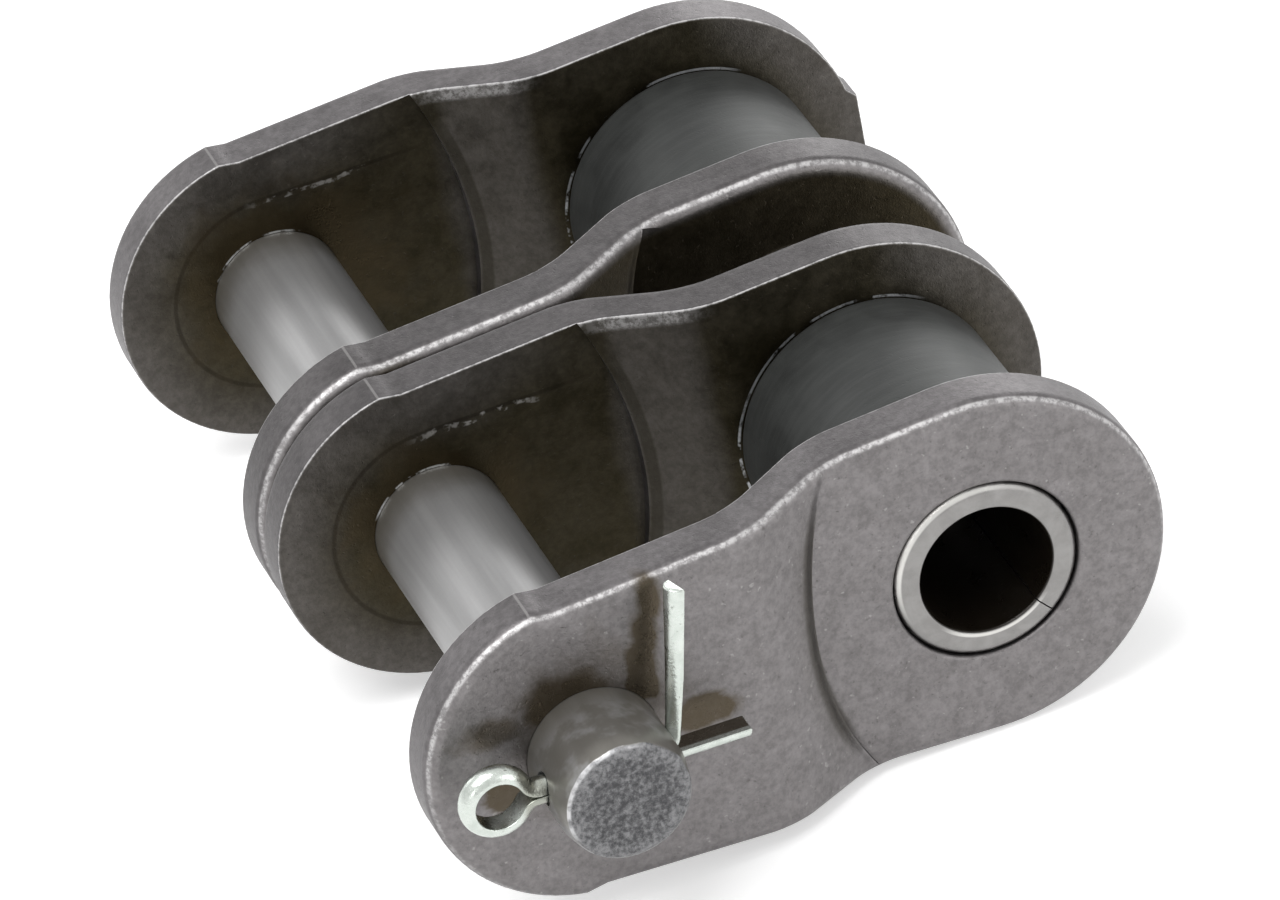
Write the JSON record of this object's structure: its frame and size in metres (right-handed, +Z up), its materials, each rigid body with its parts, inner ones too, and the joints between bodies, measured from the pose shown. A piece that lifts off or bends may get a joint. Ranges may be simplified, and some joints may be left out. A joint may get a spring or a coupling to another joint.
{
  "type": "double-strand roller chain offset link",
  "caption": "Cranked link for a double-strand roller chain, with a straight pin held by a split pin at one end and rollers on bushes at the other.",
  "frame": {"origin": "on the connecting pin's axis, midway between the two strands", "axes": "+X along the pitch line from the pin to the bushes, +Y along the pin away from the split pin, +Z up"},
  "size_m": [0.0467, 0.0661, 0.0222],
  "materials": {
    "plate_steel": "satin, oiled",
    "pin_steel": "bright satin",
    "bush_steel": "satin",
    "roller_steel": "dark satin",
    "split_pin_steel": "bright zinc"
  },
  "bodies": {
    "link": {"outer_plate_front": "plate_steel", "inner_plate_front": "plate_steel", "inner_plate_back": "plate_steel", "outer_plate_back": "plate_steel", "connecting_pin": "pin_steel", "split_pin": "split_pin_steel", "bush_front": "bush_steel", "bush_back": "bush_steel"},
    "front_roller": {"roller_front": "roller_steel"},
    "back_roller": {"roller_back": "roller_steel"}
  },
  "joints": [
    {"name": "roller_front_spin", "type": "hinge", "parent": "link", "child": "front_roller", "pos_m": [0.0254, -0.01465, 0], "axis": [0, 1, 0], "continuous": true},
    {"name": "roller_back_spin", "type": "hinge", "parent": "link", "child": "back_roller", "pos_m": [0.0254, 0.01465, 0], "axis": [0, 1, 0], "continuous": true}
  ]
}
